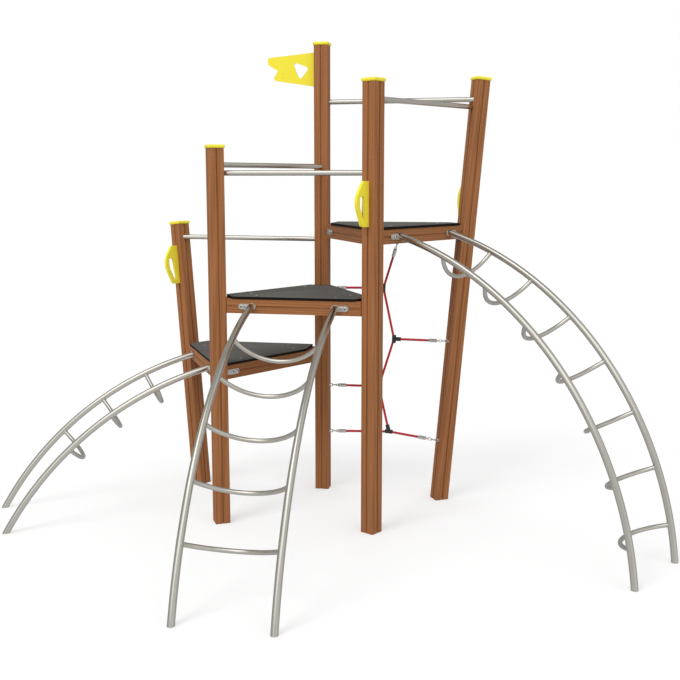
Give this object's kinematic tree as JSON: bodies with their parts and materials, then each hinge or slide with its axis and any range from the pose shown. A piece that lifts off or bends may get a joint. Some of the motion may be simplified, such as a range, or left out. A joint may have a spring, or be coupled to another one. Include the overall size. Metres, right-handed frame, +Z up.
{
  "type": "playground climbing structure",
  "caption": "Outdoor climbing tower frame with timber posts, stepped triangular decks, arched tube ladders with bowed rungs, handrails, grips, a pennant and a taut rope net",
  "frame": {"origin": "centre of the foot of the middle post of the back row, on the ground", "axes": "+X along the back row towards the tallest ladder, +Y towards the back, away from the middle ladder, +Z up"},
  "size_m": [4.4399, 2.5978, 3.1583],
  "materials": {
    "post_wood": "grained, satin",
    "beam_wood": "grained, satin",
    "yellow_plastic": "moulded, semi-gloss",
    "deck_board": "textured laminate",
    "stainless_tube": "satin stainless",
    "net_fitting": "galvanised",
    "black_plastic": "moulded",
    "red_rope": "stranded"
  },
  "bodies": {
    "root": {"bar_1_3": "stainless_tube", "bar_2_3": "stainless_tube", "bar_2_4": "stainless_tube", "bar_3_5": "stainless_tube", "bar_4_5": "stainless_tube", "beam_low_1_2": "beam_wood", "beam_low_1_3": "beam_wood", "beam_low_2_3": "beam_wood", "beam_mid_2_3": "beam_wood", "beam_mid_2_4": "beam_wood", "beam_mid_3_4": "beam_wood", "beam_top_3_4": "beam_wood", "beam_top_3_5": "beam_wood", "beam_top_4_5": "beam_wood", "cap_1": "yellow_plastic", "cap_2": "yellow_plastic", "cap_3": "yellow_plastic", "cap_4": "yellow_plastic", "cap_5": "yellow_plastic", "deck_low": "deck_board", "deck_mid": "deck_board", "deck_top": "deck_board", "flag": "yellow_plastic", "grip_1": "yellow_plastic", "grip_4": "yellow_plastic", "grip_5": "yellow_plastic", "ladder_low_left": "stainless_tube", "net_crossing_a": "black_plastic", "net_crossing_b": "black_plastic", "net_crossing_c": "black_plastic", "net_crossing_d": "black_plastic", "net_end_a": "net_fitting", "net_end_b": "net_fitting", "net_end_c": "net_fitting", "net_end_d": "net_fitting", "net_end_e": "net_fitting", "net_end_top": "net_fitting", "net_rope": "red_rope", "post_1": "post_wood", "post_2": "post_wood", "post_3": "post_wood", "post_4": "post_wood", "post_5": "post_wood", "rail_low_right": "stainless_tube", "rail_mid_left": "stainless_tube", "rail_mid_right": "stainless_tube", "rail_top_left": "stainless_tube", "rail_top_right": "stainless_tube", "rung_mid_1": "stainless_tube", "rung_mid_2": "stainless_tube", "rung_mid_3": "stainless_tube", "rung_mid_4": "stainless_tube", "rung_mid_5": "stainless_tube", "rung_top_1": "stainless_tube", "rung_top_2": "stainless_tube", "rung_top_3": "stainless_tube", "rung_top_4": "stainless_tube", "rung_top_5": "stainless_tube", "rung_top_6": "stainless_tube", "rung_top_7": "stainless_tube"}
  },
  "joints": []
}
